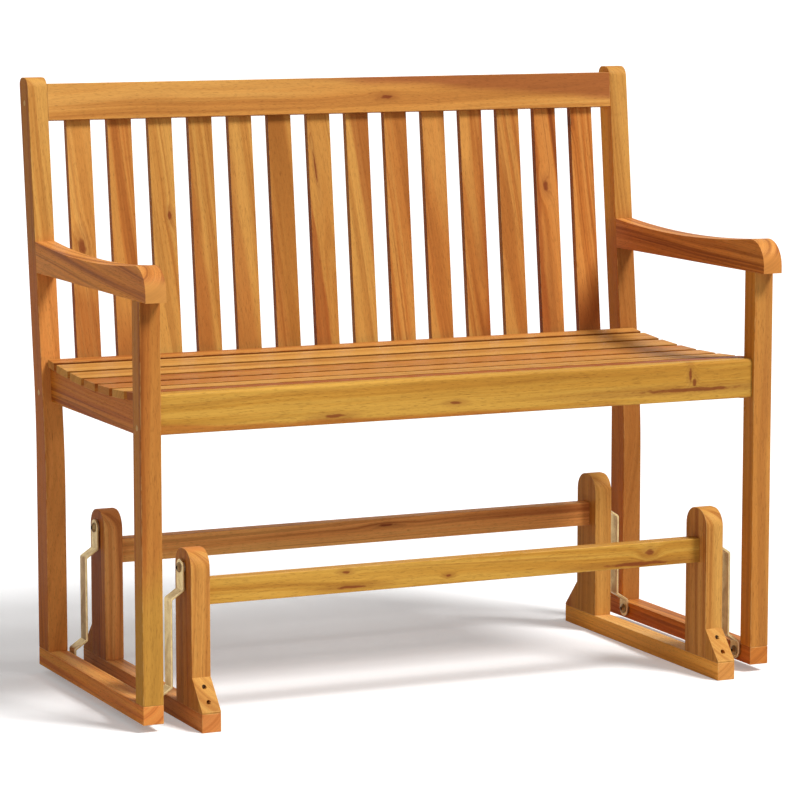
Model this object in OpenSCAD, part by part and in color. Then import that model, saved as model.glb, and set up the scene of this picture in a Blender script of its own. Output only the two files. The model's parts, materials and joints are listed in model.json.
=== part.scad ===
// Swing bench: a slatted two-seat garden bench that glides on four hanging links inside its legs.
// Millimetres. X runs along the bench, Y from front to back, Z up from the floor.
// Inside the modules Y counts from the front face of the front legs, and place() then centres the part.

/* [Overall size] */
// Width over the outer faces of the legs
bench_width = 1050; // [900:5:1500]
// Depth from the front of the front legs to the back of the rear legs
bench_depth = 472; // [460:2:560]
// Height of the back posts above the floor
back_height = 934; // [880:2:1040]

/* [Bench frame] */
// Thickness of legs, back posts, arms and bottom rails, across the bench
leg_thickness = 32; // [30:1:44]
// Depth of a front leg
front_leg_depth = 32; // [30:1:40]
// Depth of a rear leg below its bend
rear_leg_depth = 46; // [44:1:60]
// Depth of a back post above its bend
back_post_depth = 39; // [38:0.5:43]
// Lean of the back from upright, in degrees
back_lean = 6.3; // [5:0.1:10]
// Height of the bend on the front of the rear legs
knee_height = 345; // [200:5:350]
// Radius that softens the bends of the rear legs
knee_radius = 1100; // [200:50:1200]
// Radius of the front corner at the top of a back post
post_front_round = 17; // [6:1:20]
// Radius of the rear corner at the top of a back post
post_rear_round = 12; // [4:1:14]
// Height of the bottom side rails under the legs
bottom_rail_height = 28; // [26:1:45]
// Gap between the bottom side rails and the floor
rail_clearance = 12; // [8:1:25]

/* [Arms] */
// Height of the underside of the arms above the floor
arm_underside = 634; // [600:2:700]
// Height of an arm at its front end
arm_front_height = 51; // [44:1:60]
// Height of an arm where it meets the back post
arm_rear_height = 48; // [40:0.5:60]
// How far the top of an arm dips between its ends
arm_dip = 11; // [2:0.5:12]
// How far an arm stands out in front of the front leg
arm_overhang = 26; // [10:1:45]
// Radius of the rolled-over front of an arm
arm_nose_radius = 40; // [14:1:42]

/* [Seat] */
// Height of the seat at the bottom of its dish
seat_low_height = 488.5; // [486:0.5:500]
// How far the underside of the seat frame lies below the bottom of the dish
seat_frame_drop = 50.5; // [47:0.5:70]
// Height of the front apron
apron_height = 60; // [50:1:75]
// Thickness of the front apron
apron_thickness = 22; // [18:1:24]
// How far the apron sits behind the front of the front legs
apron_setback = 5; // [2:0.5:6]
// Radius of the eased top edge of the apron
apron_edge_radius = 5; // [2:0.5:8]
// Thickness of the seat side rails
side_rail_thickness = 24; // [20:1:28]
// How far the side rails sit inside the outer faces of the legs
side_rail_inset = 14; // [8:1:16]
// How far the side rails reach below the apron
side_rail_drop = 5; // [0:0.5:8]
// Thickness of the bearer under the middle of the seat
centre_bearer_thickness = 24; // [18:1:40]
// Radius of the dish in the seat
seat_radius = 2000; // [1600:50:4000]
// Width of a seat slat, from front to back
seat_slat_width = 50; // [40:1:56]
// Width of the narrow slat at the back of the seat
rear_slat_width = 28; // [20:1:40]
// Thickness of the seat slats
seat_slat_thickness = 12; // [10:0.5:14]
// How far the ends of the seat slats sit inside the outer faces of the legs
seat_slat_inset = 10; // [0:1:14]

/* [Back] */
// Height of the top rail
top_rail_height = 57; // [50:1:80]
// Thickness of the top rail
top_rail_thickness = 28; // [27:1:34]
// How far the top rail sits below the top of the back posts
top_rail_drop = 9; // [2:1:20]
// Width of a back slat
back_slat_width = 40; // [25:1:42]
// Gap between the outermost back slats and the back posts
back_slat_end_gap = 31.5; // [20:0.5:40]
// Thickness of the back slats
back_slat_thickness = 12; // [8:0.5:14]
// How far the back slats sit behind the face of the back
back_slat_setback = 10; // [9:0.5:12]
// Height of the rear seat rail
rear_rail_height = 50; // [46:1:54]
// Thickness of the rear seat rail
rear_rail_thickness = 24; // [22:1:28]
// How far the rear seat rail sits behind the face of the back
rear_rail_setback = 8; // [6:0.5:8.5]
// How far the tenons and bolts of both rails lie behind the face of the back
back_joint_depth = 19; // [17.5:0.5:20]

/* [Base] */
// Space between the base and the bench rails, where the links hang
link_space = 47; // [38:1:70]
// Thickness of the base's feet and posts, across the bench
base_thickness = 30; // [28:1:42]
// How far the feet reach in front of the bench
foot_front_reach = 33; // [26:1:60]
// How far the feet reach behind the rear legs
foot_rear_reach = 15; // [5:1:60]
// Height of the feet
foot_height = 28; // [24:1:45]
// Distance from the ends of the feet to the posts
base_post_inset = 41; // [36:1:60]
// Depth of a base post, from front to back
base_post_depth = 65; // [60:1:90]
// Height of the base posts above the floor
base_post_height = 263; // [258:1:320]
// Radius of the two top corners of a base post
base_post_round = 28; // [10:1:29]
// Height of the stretchers
stretcher_height = 38; // [30:1:42]
// Thickness of the stretchers
stretcher_thickness = 25; // [20:1:35]
// Height of the underside of the stretchers above the floor
stretcher_underside = 178; // [120:1:182]
// Height of the gusset blocks
gusset_height = 47; // [46:1:70]
// Height of the blunt toe of a gusset block
gusset_toe = 3; // [1:0.5:6]

/* [Links] */
// Height of the upper pivots above the floor
upper_pivot_height = 235; // [230:1:240]
// Height of the lower pivots above the underside of the bottom rails
lower_pivot_rise = 17; // [14:0.5:17]
// Width of a link
link_width = 25; // [20:1:27]
// Thickness of a link's metal
link_thickness = 3.5; // [3:0.5:5]
// Straight length of a link below its upper pivot
link_upper_flat = 33; // [24:1:50]
// Straight length of a link above its lower pivot
link_lower_flat = 16; // [14:1:40]
// Height over which a link steps sideways
link_step_height = 13; // [10:1:24]
// Radius of a pivot screw's shoulder
shoulder_radius = 5; // [3.5:0.5:6.5]
// Radius of a pivot screw's thread
thread_radius = 3.5; // [2.5:0.5:3.5]
// Length of a pivot screw's thread
thread_length = 22; // [14:1:24]
// Radius of a pivot screw's head
pivot_head_radius = 8; // [7.5:0.5:10]
// Height of a pivot screw's domed head
pivot_head_height = 4.5; // [3.5:0.5:7]
// Radius of the six-sided socket in a pivot screw's head, over its corners
socket_radius = 3; // [2:0.5:4]
// Depth of the socket in a pivot screw's head
socket_depth = 3; // [2:0.5:4]
// Radius of a pivot washer
washer_radius = 10; // [9:0.5:12]
// Thickness of a pivot washer
washer_thickness = 2; // [1:0.5:3]

/* [Joints and fasteners] */
// Length of the tenons on the rails that run along the bench
tenon_length = 12; // [8:1:12]
// Length of the tenons that run from front to back
side_tenon_length = 8; // [6:1:8]
// Thickness of the tenons
tenon_thickness = 12; // [8:1:12]
// How far a tenon is set in from its rail's edges
tenon_shoulder = 5; // [3:0.5:7]
// Length of the tenons at both ends of a back slat
slat_tenon_length = 14; // [8:1:18]
// How far the tenons of a back slat are set in from its two faces
slat_tenon_cheek = 1; // [0.5:0.5:2]
// Radius of the dowels in the legs
dowel_radius = 5; // [3:0.5:6]
// Depth of a dowel in the bottom rail or the arm
dowel_depth = 18; // [12:1:20]
// Radius of a frame bolt
bolt_radius = 3; // [2:0.5:3]
// Radius of a frame bolt's head and of the plug over it
plug_radius = 4.5; // [4:0.5:4.5]
// Height of a frame bolt's head
bolt_head_height = 4; // [3:0.5:5]
// Thickness of a plug
plug_thickness = 5; // [3:0.5:6]
// Length of a frame bolt under its head
bolt_length = 75; // [60:1:90]
// Height of the seat's frame bolts above the underside of the seat frame
seat_bolt_rise = 11; // [10:0.5:20]
// Radius of a wood screw
screw_radius = 1.8; // [1.5:0.1:2.2]
// Radius of a wood screw's head
screw_head_radius = 3.4; // [3:0.1:4]
// Height of a wood screw's head
screw_head_height = 2; // [1.5:0.5:3]
// Length of a wood screw
screw_length = 30; // [24:1:34]
// How far a seat screw reaches into its slat
slat_screw_bite = 7; // [5:0.5:8]
// Height of the lower screw of a gusset block above the foot
gusset_screw_low = 14.5; // [8:0.5:16]
// Height of the upper screw of a gusset block above the foot
gusset_screw_high = 34; // [30:0.5:36]
// Wood left between a gusset screw's head and the post
gusset_screw_seat = 6; // [4:0.5:8]
// Clearance all round a tenon, dowel, bolt or screw
joint_clearance = 0.15; // [0.05:0.05:0.3]
// Radial clearance of a link on its pivot
pivot_clearance = 0.08; // [0.02:0.01:0.1]
// Gap on each flat side of a link
link_side_gap = 0.3; // [0.2:0.05:0.6]
// Gap between the seat slats and the legs and posts
slat_end_gap = 1; // [0.5:0.5:3]

/* [Hidden] */

$fn = 48;
dome_fn = 96;
wide_fn = 720;
arc_steps = 8;
wide_slat_count = 6;
back_slat_count = 14;
russet_slat_step = 3;
overlap = 1;
left = -1;
right = 1;

golden = [0.80, 0.58, 0.25];
amber = [0.76, 0.48, 0.22];
russet = [0.62, 0.36, 0.18];
pale_wood = [0.87, 0.72, 0.50];
yellow_zinc = [0.80, 0.74, 0.52];
dark_steel = [0.35, 0.33, 0.30];

outer_x = bench_width / 2;
inner_x = outer_x - leg_thickness;
leg_mid_x = outer_x - leg_thickness / 2;
side_rail_outer_x = outer_x - side_rail_inset;
side_rail_mid_x = side_rail_outer_x - side_rail_thickness / 2;
side_tenon_x = (inner_x + side_rail_outer_x) / 2;
seat_slat_end_x = outer_x - seat_slat_inset;
base_outer_x = inner_x - link_space;
base_inner_x = base_outer_x - base_thickness;
base_mid_x = base_outer_x - base_thickness / 2;
bolt_head_x = outer_x - plug_thickness;
bolt_shank_x = bolt_head_x - bolt_head_height;

bottom_rail_top = rail_clearance + bottom_rail_height;
rear_leg_front = bench_depth - rear_leg_depth;
rear_knee_height = knee_height + (rear_leg_depth - back_post_depth) / tan(back_lean);

foot_front = -foot_front_reach;
foot_back = bench_depth + foot_rear_reach;
front_pivot_y = foot_front + base_post_inset + base_post_depth / 2;
rear_pivot_y = foot_back - base_post_inset - base_post_depth / 2;
lower_pivot_height = rail_clearance + lower_pivot_rise;

shoulder_length = washer_thickness + link_thickness + 2 * link_side_gap;
link_upper_x = base_outer_x + washer_thickness + link_side_gap + link_thickness / 2;
link_lower_x = inner_x - washer_thickness - link_side_gap - link_thickness / 2;
link_middle_x = (link_upper_x + link_lower_x) / 2;

seat_frame_underside = seat_low_height - seat_frame_drop;
side_rail_underside = seat_frame_underside - side_rail_drop;
seat_front = front_leg_depth + slat_end_gap;
seat_back = face_of_back(seat_low_height) - slat_end_gap;
rear_slat_front = seat_back - rear_slat_width;
slat_pitch = (rear_slat_front - seat_front) / wide_slat_count;
dish_y = (seat_front + rear_slat_front) / 2;
dish_centre_z = seat_low_height + seat_radius;
rail_dish_radius = seat_radius + seat_slat_thickness;
side_tenon_top = seat_low_height - seat_slat_thickness - tenon_shoulder;

rear_rail_low = lean_length(seat_frame_underside);
rear_rail_top = rear_rail_low + rear_rail_height;
top_rail_top = lean_length(back_height - top_rail_drop);
top_rail_low = top_rail_top - top_rail_height;
back_slat_start = back_slat_end_gap - inner_x;
back_slat_pitch = (-2 * back_slat_start - back_slat_width) / (back_slat_count - 1);

// Middle of every seat slat, from the front one to the narrow one at the back
slat_middles = [for (i = [0:wide_slat_count - 1]) seat_front + i * slat_pitch + seat_slat_width / 2,
                rear_slat_front + rear_slat_width / 2];

// Side view of a leg that bends into a back post, and the part's middle from front to back
back_post_outline = rounded([
    [rear_leg_front, bottom_rail_top, 0],
    [bench_depth, bottom_rail_top, 0],
    [bench_depth, rear_knee_height, knee_radius],
    [bench_depth + (back_height - rear_knee_height) * tan(back_lean), back_height, post_rear_round],
    [face_of_back(back_height), back_height, post_front_round],
    [rear_leg_front, knee_height, knee_radius]]);
middle_y = (foot_front + max([for (p = back_post_outline) p[0]])) / 2;

// Y of the front face of the back posts, at a height above their bend
function face_of_back(z) = rear_leg_front + (z - knee_height) * tan(back_lean);
// Distance up the leaning face of the back, from its bend to a height above the floor
function lean_length(z) = (z - knee_height) / cos(back_lean);
function unit(v) = v / norm(v);
function left_normal(v) = [-v[1], v[0]];
// Height of the underside of the seat slats at y
function slat_underside(y) = dish_centre_z - sqrt(pow(rail_dish_radius, 2) - pow(y - dish_y, 2));

// Closed outline from corners [y, z, radius], each corner turned into an arc of its radius
function rounded(corners) =
    let (count = len(corners))
    [for (i = [0:count - 1])
        each corner_arc(corners[(i + count - 1) % count], corners[i], corners[(i + 1) % count])];

function corner_arc(before, corner, after) =
    corner[2] == 0 ? [[corner[0], corner[1]]]
    : let (tip = [corner[0], corner[1]],
           to_before = unit([before[0], before[1]] - tip),
           to_after = unit([after[0], after[1]] - tip),
           half = acos(to_before * to_after) / 2,
           centre = tip + unit(to_before + to_after) * corner[2] / sin(half),
           first = tip + to_before * corner[2] / tan(half) - centre,
           last = tip + to_after * corner[2] / tan(half) - centre,
           start = atan2(first[1], first[0]),
           swept = atan2(last[1], last[0]) - start,
           turn = swept > 180 ? swept - 360 : (swept < -180 ? swept + 360 : swept))
      [for (i = [0:arc_steps])
          let (angle = start + turn * i / arc_steps)
          centre + corner[2] * [cos(angle), sin(angle)]];

// Outline of a metal strip that follows a path, half its thickness to each side, with rounded bends
function strip(path, half, bend) =
    let (there = strip_edge(path, half, bend),
         back = strip_edge(path, -half, bend))
    rounded(concat(there, [for (i = [len(back) - 1:-1:0]) back[i]]));

function strip_edge(path, offset, bend) =
    let (last = len(path) - 1,
         run = [for (i = [0:last - 1]) unit(path[i + 1] - path[i])])
    [for (i = [0:last])
        let (normal_in = left_normal(run[max(i - 1, 0)]),
             normal_out = left_normal(run[min(i, last - 1)]),
             p = path[i] + offset * (normal_in + normal_out) / (1 + normal_in * normal_out),
             turns_left = normal_in[0] * normal_out[1] - normal_in[1] * normal_out[0] > 0)
        [p[0], p[1], i == 0 || i == last ? 0 : bend - (turns_left ? offset : -offset)]];

// Puts the part's origin on the floor at the middle of its footprint; the left side is mirrored
module place(side = right) {
    translate([0, -middle_y, 0])
        mirror([side == left ? 1 : 0, 0, 0])
            children();
}

module both_ends() {
    for (flip = [0, 1])
        mirror([flip, 0, 0])
            children();
}

// Turns a side view, drawn as [y, z], into a board from x0 to x1
module board(x0, x1) {
    translate([x0, 0, 0])
        rotate([90, 0, 90])
            linear_extrude(x1 - x0)
                children();
}

// Block from its low corner to its high corner, grown on every face
module block(low, high, grow = 0) {
    translate(low - grow * [1, 1, 1])
        cube(high - low + 2 * grow * [1, 1, 1]);
}

// Round bar along X
module bar(x0, x1, radius) {
    translate([x0, 0, 0])
        rotate([0, 90, 0])
            cylinder(r = radius, h = x1 - x0);
}

// The leaning plane of the back: Y counts into the back and Z up its face, from the bend
module in_back() {
    translate([0, rear_leg_front, knee_height])
        rotate([-back_lean, 0, 0])
            children();
}

// Block that runs into a leg or post by the length of a tenon, for the end of a rail at |X| = start
module end_tenon(start, middle, low, high, grow) {
    block([start - overlap, middle - tenon_thickness / 2, low + tenon_shoulder],
          [start + tenon_length, middle + tenon_thickness / 2, high - tenon_shoulder], grow);
}

module top_rail_tenon(grow = 0) {
    in_back()
        end_tenon(inner_x, back_joint_depth, top_rail_low, top_rail_top, grow);
}

module rear_rail_tenon(grow = 0) {
    in_back()
        end_tenon(inner_x, back_joint_depth, rear_rail_low, rear_rail_top, grow);
}

module apron_tenon(grow = 0) {
    end_tenon(inner_x, apron_setback + apron_thickness / 2,
              seat_frame_underside, seat_frame_underside + apron_height, grow);
}

module stretcher_tenon(pivot_y, grow = 0) {
    end_tenon(base_inner_x, pivot_y, stretcher_underside, stretcher_underside + stretcher_height, grow);
}

// Tenon that runs back from the face of the back, on the rear end of a side rail or arm
module rear_tenon(middle_x, low, high, grow) {
    in_back()
        block([middle_x - tenon_thickness / 2, -overlap, lean_length(low)],
              [middle_x + tenon_thickness / 2, side_tenon_length, lean_length(high)], grow);
}

module side_rail_tenons(grow = 0) {
    low = side_rail_underside + tenon_shoulder;
    block([side_tenon_x - tenon_thickness / 2, front_leg_depth - side_tenon_length, low],
          [side_tenon_x + tenon_thickness / 2, front_leg_depth + overlap, side_tenon_top], grow);
    rear_tenon(side_tenon_x, low, side_tenon_top, grow);
}

module arm_tenon(grow = 0) {
    rear_tenon(leg_mid_x, arm_underside + tenon_shoulder,
               arm_underside + arm_rear_height - arm_dip, grow);
}

module base_post_tenon(pivot_y, grow = 0) {
    reach = base_post_depth / 2 - 2 * tenon_shoulder;
    block([base_mid_x - tenon_thickness / 2, pivot_y - reach, foot_height - tenon_length],
          [base_mid_x + tenon_thickness / 2, pivot_y + reach, foot_height + overlap], grow);
}

// Part of back slat i from one distance up the back to another, inset from its edges and faces
module back_slat_part(i, low, high, shoulder = 0, cheek = 0, grow = 0) {
    start = back_slat_start + (i - 1) * back_slat_pitch;
    in_back()
        block([start + shoulder, back_slat_setback + cheek, low],
              [start + back_slat_width - shoulder, back_slat_setback + back_slat_thickness - cheek, high],
              grow);
}

module back_slat_tenons(grow = 0) {
    for (i = [1:back_slat_count]) {
        back_slat_part(i, rear_rail_top - slat_tenon_length, rear_rail_top + overlap,
                       tenon_shoulder, slat_tenon_cheek, grow);
        back_slat_part(i, top_rail_low - overlap, top_rail_low + slat_tenon_length,
                       tenon_shoulder, slat_tenon_cheek, grow);
    }
}

// The bolts that hold the apron, the rear seat rail and the top rail to the legs and posts
module at_bolts() {
    translate([0, apron_setback + apron_thickness / 2, seat_frame_underside + seat_bolt_rise])
        children();
    for (up = [rear_rail_low + seat_bolt_rise, (top_rail_low + top_rail_top) / 2])
        in_back()
            translate([0, back_joint_depth, up])
                children();
}

module bolt_holes() {
    at_bolts() {
        bar(bolt_shank_x - joint_clearance, outer_x + overlap, plug_radius + joint_clearance);
        bar(bolt_shank_x - bolt_length - joint_clearance, outer_x, bolt_radius + joint_clearance);
    }
}

// Where a leg stands on its bottom rail, and where an arm lies on its front leg
module at_dowels() {
    for (y = [front_leg_depth / 2, rear_leg_front + rear_leg_depth / 2])
        translate([leg_mid_x, y, bottom_rail_top])
            children();
    translate([leg_mid_x, front_leg_depth / 2, arm_underside])
        children();
}

module dowel(grow = 0) {
    translate([0, 0, -dowel_depth - grow])
        cylinder(r = dowel_radius + grow, h = 2 * (dowel_depth + grow));
}

// Bore for a pivot screw's thread, along +X from the face at x = 0
module thread_bore() {
    bar(-overlap, thread_length + joint_clearance, thread_radius + joint_clearance);
}

module front_leg(side) {
    color(golden)
        place(side)
            difference() {
                block([inner_x, 0, bottom_rail_top], [outer_x, front_leg_depth, arm_underside]);
                apron_tenon(joint_clearance);
                side_rail_tenons(joint_clearance);
                at_dowels() dowel(joint_clearance);
                bolt_holes();
            }
}

module rear_post(side) {
    color(amber)
        place(side)
            difference() {
                board(inner_x, outer_x) polygon(back_post_outline);
                top_rail_tenon(joint_clearance);
                rear_rail_tenon(joint_clearance);
                side_rail_tenons(joint_clearance);
                arm_tenon(joint_clearance);
                at_dowels() dowel(joint_clearance);
                bolt_holes();
            }
}

module bottom_rail(side) {
    color(amber)
        place(side)
            difference() {
                block([inner_x, 0, rail_clearance], [outer_x, bench_depth, bottom_rail_top]);
                at_dowels() dowel(joint_clearance);
                for (y = [front_pivot_y, rear_pivot_y])
                    translate([inner_x, y, lower_pivot_height])
                        thread_bore();
            }
}

// Side view of an arm: flat below, dipped on top, rolled over at the front
module arm_profile() {
    front_end = [arm_nose_radius - arm_overhang, arm_underside + arm_front_height];
    rear_z = arm_underside + arm_rear_height;
    rear_end = [face_of_back(rear_z), rear_z];
    half_chord = norm(rear_end - front_end) / 2;
    dip_radius = (pow(half_chord, 2) + pow(arm_dip, 2)) / (2 * arm_dip);
    dip_centre = (front_end + rear_end) / 2
                 + (dip_radius - arm_dip) * left_normal(unit(rear_end - front_end));
    difference() {
        polygon(rounded([[-arm_overhang, arm_underside, 0],
                         [face_of_back(arm_underside), arm_underside, 0],
                         [rear_end[0], rear_z, 0],
                         [-arm_overhang, front_end[1], arm_nose_radius]]));
        translate(dip_centre)
            circle(r = dip_radius, $fn = wide_fn);
    }
}

module armrest(side) {
    color(amber)
        place(side)
            difference() {
                union() {
                    board(inner_x, outer_x) arm_profile();
                    arm_tenon();
                }
                at_dowels() dowel(joint_clearance);
            }
}

// Side view of a seat rail with the dish for the slats, from y = front to the face of the back
module dished_profile(front, low, behind_face) {
    high = seat_low_height + seat_slat_thickness;
    behind = behind_face / cos(back_lean);
    difference() {
        polygon([[front, low],
                 [face_of_back(low) + behind, low],
                 [face_of_back(high) + behind, high],
                 [front, high]]);
        translate([dish_y, dish_centre_z])
            circle(r = rail_dish_radius, $fn = wide_fn);
    }
}

module seat_side_rail(side) {
    color(russet)
        place(side)
            difference() {
                union() {
                    board(side_rail_outer_x - side_rail_thickness, side_rail_outer_x)
                        dished_profile(front_leg_depth, side_rail_underside, 0);
                    side_rail_tenons();
                }
                translate([side_rail_mid_x, 0, 0])
                    seat_screw_row(joint_clearance);
            }
}

module centre_bearer() {
    color(amber)
        place()
            difference() {
                board(-centre_bearer_thickness / 2, centre_bearer_thickness / 2)
                    dished_profile(apron_setback + apron_thickness, seat_frame_underside,
                                   rear_rail_setback);
                seat_screw_row(joint_clearance);
            }
}

module front_apron() {
    low = [apron_setback, seat_frame_underside];
    high = low + [apron_thickness, apron_height];
    color(golden)
        place()
            difference() {
                union() {
                    board(-inner_x, inner_x)
                        polygon(rounded([[low[0], low[1], 0], [high[0], low[1], 0], [high[0], high[1], 0],
                                         [low[0], high[1], apron_edge_radius]]));
                    both_ends() apron_tenon();
                }
                both_ends() bolt_holes();
            }
}

module rear_seat_rail() {
    color(russet)
        place()
            difference() {
                union() {
                    in_back()
                        block([-inner_x, rear_rail_setback, rear_rail_low],
                              [inner_x, rear_rail_setback + rear_rail_thickness, rear_rail_top]);
                    both_ends() rear_rail_tenon();
                }
                both_ends() bolt_holes();
                back_slat_tenons(joint_clearance);
            }
}

module top_rail() {
    color(amber)
        place()
            difference() {
                union() {
                    in_back()
                        block([-inner_x, 0, top_rail_low], [inner_x, top_rail_thickness, top_rail_top]);
                    both_ends() top_rail_tenon();
                }
                both_ends() bolt_holes();
                back_slat_tenons(joint_clearance);
            }
}

module back_slat(i) {
    color(i % russet_slat_step == 0 ? russet : amber)
        place() {
            back_slat_part(i, rear_rail_top, top_rail_low);
            back_slat_part(i, rear_rail_top - slat_tenon_length, top_rail_low + slat_tenon_length,
                           tenon_shoulder, slat_tenon_cheek);
        }
}

// A flat slat laid in the dish, so that its underside rests by both edges on the curved rails
module dished_slat(middle, width) {
    color(middle > dish_y ? amber : golden)
        place()
            difference() {
                translate([0, dish_y, dish_centre_z])
                    rotate([asin((middle - dish_y) / rail_dish_radius), 0, 0])
                        translate([0, 0, -sqrt(pow(rail_dish_radius, 2) - pow(width / 2, 2))])
                            block([-seat_slat_end_x, -width / 2, 0],
                                  [seat_slat_end_x, width / 2, seat_slat_thickness]);
                for (x = [-side_rail_mid_x, 0, side_rail_mid_x])
                    translate([x, 0, 0])
                        seat_screw_row(joint_clearance);
            }
}

// Upright screws from below into every seat slat; with a clearance they are their own stepped holes
module seat_screw_row(grow = 0) {
    for (y = slat_middles) {
        head_z = slat_underside(y) + slat_screw_bite - screw_length;
        translate([0, y, head_z])
            cylinder(r = screw_radius + grow, h = screw_length + grow);
        translate([0, y, grow > 0 ? side_rail_underside - overlap : head_z - screw_head_height])
            cylinder(r = screw_head_radius + grow,
                     h = grow > 0 ? head_z + overlap - side_rail_underside : screw_head_height);
    }
}

module seat_screws() {
    color(dark_steel)
        place()
            for (x = [-side_rail_mid_x, 0, side_rail_mid_x])
                translate([x, 0, 0])
                    seat_screw_row();
}

module frame_dowels() {
    color(pale_wood)
        for (side = [left, right])
            place(side)
                at_dowels() dowel();
}

module frame_bolts() {
    color(dark_steel)
        for (side = [left, right])
            place(side)
                at_bolts() {
                    bar(bolt_shank_x, bolt_head_x, plug_radius);
                    bar(bolt_shank_x - bolt_length, bolt_shank_x, bolt_radius);
                }
}

module bolt_plugs() {
    color(pale_wood)
        for (side = [left, right])
            place(side)
                at_bolts() bar(bolt_head_x, outer_x, plug_radius);
}

module foot_rail(side) {
    color(golden)
        place(side)
            difference() {
                block([base_inner_x, foot_front, 0], [base_outer_x, foot_back, foot_height]);
                for (y = [front_pivot_y, rear_pivot_y])
                    base_post_tenon(y, joint_clearance);
            }
}

// Side view of a base post: a board with two rounded top corners
module base_post_profile() {
    half = base_post_depth / 2;
    polygon(rounded([[-half, foot_height, 0], [half, foot_height, 0],
                     [half, base_post_height, base_post_round],
                     [-half, base_post_height, base_post_round]]));
}

module base_post(side, pivot_y) {
    color(amber)
        place(side)
            difference() {
                union() {
                    translate([0, pivot_y, 0])
                        board(base_inner_x, base_outer_x) base_post_profile();
                    base_post_tenon(pivot_y);
                }
                stretcher_tenon(pivot_y, joint_clearance);
                translate([base_outer_x, pivot_y, upper_pivot_height])
                    mirror([1, 0, 0])
                        thread_bore();
                gusset_screw_pair(pivot_y, joint_clearance);
            }
}

// The plane of a gusset block: the post's face at y = 0, the end of the foot towards -y, at foot height
module at_gusset(pivot_y) {
    translate([0, pivot_y, foot_height])
        mirror([0, pivot_y == front_pivot_y ? 0 : 1, 0])
            translate([0, -base_post_depth / 2, 0])
                children();
}

module gusset_screw_pair(pivot_y, grow = 0) {
    head_run = grow > 0 ? base_post_inset : screw_head_height;
    at_gusset(pivot_y)
        for (z = [gusset_screw_low, gusset_screw_high])
            translate([base_mid_x, -gusset_screw_seat, z])
                rotate([-90, 0, 0]) {
                    cylinder(r = screw_radius + grow, h = screw_length + grow);
                    translate([0, 0, -head_run])
                        cylinder(r = screw_head_radius + grow, h = head_run);
                }
}

module gusset(side, pivot_y) {
    color(golden)
        place(side)
            difference() {
                at_gusset(pivot_y)
                    board(base_inner_x, base_outer_x)
                        polygon([[0, 0], [0, gusset_height], [-base_post_inset, gusset_toe],
                                 [-base_post_inset, 0]]);
                gusset_screw_pair(pivot_y, joint_clearance);
            }
}

module gusset_screws() {
    color(dark_steel)
        for (side = [left, right], pivot_y = [front_pivot_y, rear_pivot_y])
            place(side)
                gusset_screw_pair(pivot_y);
}

module stretcher(pivot_y) {
    color(golden)
        place() {
            block([-base_inner_x, pivot_y - stretcher_thickness / 2, stretcher_underside],
                  [base_inner_x, pivot_y + stretcher_thickness / 2, stretcher_underside + stretcher_height]);
            both_ends() stretcher_tenon(pivot_y);
        }
}

// Metal strap with round ends that steps outwards twice, from the base post to the bench rail
module link(side, pivot_y) {
    pivots = [lower_pivot_height, upper_pivot_height];
    upper_step = upper_pivot_height - link_upper_flat;
    lower_step = lower_pivot_height + link_lower_flat;
    path = [[link_upper_x, upper_pivot_height + link_width / 2],
            [link_upper_x, upper_step],
            [link_middle_x, upper_step - link_step_height],
            [link_middle_x, lower_step + link_step_height],
            [link_lower_x, lower_step],
            [link_lower_x, lower_pivot_height - link_width / 2]];
    color(yellow_zinc)
        place(side)
            difference() {
                intersection() {
                    translate([0, pivot_y + link_width / 2, 0])
                        rotate([90, 0, 0])
                            linear_extrude(link_width)
                                polygon(strip(path, link_thickness / 2, link_thickness));
                    board(base_outer_x, inner_x)
                        translate([pivot_y, 0]) {
                            translate([-link_width / 2, pivots[0]])
                                square([link_width, pivots[1] - pivots[0]]);
                            for (z = pivots)
                                translate([0, z])
                                    circle(d = link_width);
                        }
                }
                for (z = pivots)
                    translate([0, pivot_y, z])
                        bar(base_outer_x, inner_x, shoulder_radius + pivot_clearance);
            }
}

// Upper pivots: each screw starts at the outer face of a base post and faces outwards
module at_upper_pivots() {
    for (side = [left, right], y = [front_pivot_y, rear_pivot_y])
        place(side)
            translate([base_outer_x, y, upper_pivot_height])
                children();
}

// Lower pivots: each screw starts at the inner face of a bottom rail and faces inwards
module at_lower_pivots() {
    for (side = [left, right], y = [front_pivot_y, rear_pivot_y])
        place(side)
            translate([inner_x, y, lower_pivot_height])
                mirror([1, 0, 0])
                    children();
}

// Shoulder screw: thread into the wood, shoulder for the washer and the link, domed head with a socket
module pivot_screw() {
    dome_radius = (pow(pivot_head_radius, 2) + pow(pivot_head_height, 2)) / (2 * pivot_head_height);
    head_top = shoulder_length + pivot_head_height;
    difference() {
        union() {
            bar(-thread_length, 0, thread_radius);
            bar(0, shoulder_length, shoulder_radius);
            translate([shoulder_length, 0, 0])
                rotate([0, 90, 0])
                    rotate_extrude()
                        intersection() {
                            square([pivot_head_radius, pivot_head_height]);
                            translate([0, pivot_head_height - dome_radius])
                                circle(r = dome_radius, $fn = dome_fn);
                        }
        }
        translate([head_top - socket_depth, 0, 0])
            rotate([0, 90, 0])
                cylinder(r = socket_radius, h = socket_depth + overlap, $fn = 6);
    }
}

module pivot_washer() {
    difference() {
        bar(0, washer_thickness, washer_radius);
        bar(-overlap, washer_thickness + overlap, shoulder_radius + joint_clearance);
    }
}

module upper_pivot_screws() {
    color(yellow_zinc)
        at_upper_pivots() pivot_screw();
}

module upper_washers() {
    color(dark_steel)
        at_upper_pivots() pivot_washer();
}

module lower_pivot_screws() {
    color(yellow_zinc)
        at_lower_pivots() pivot_screw();
}

module lower_washers() {
    color(dark_steel)
        at_lower_pivots() pivot_washer();
}

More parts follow.
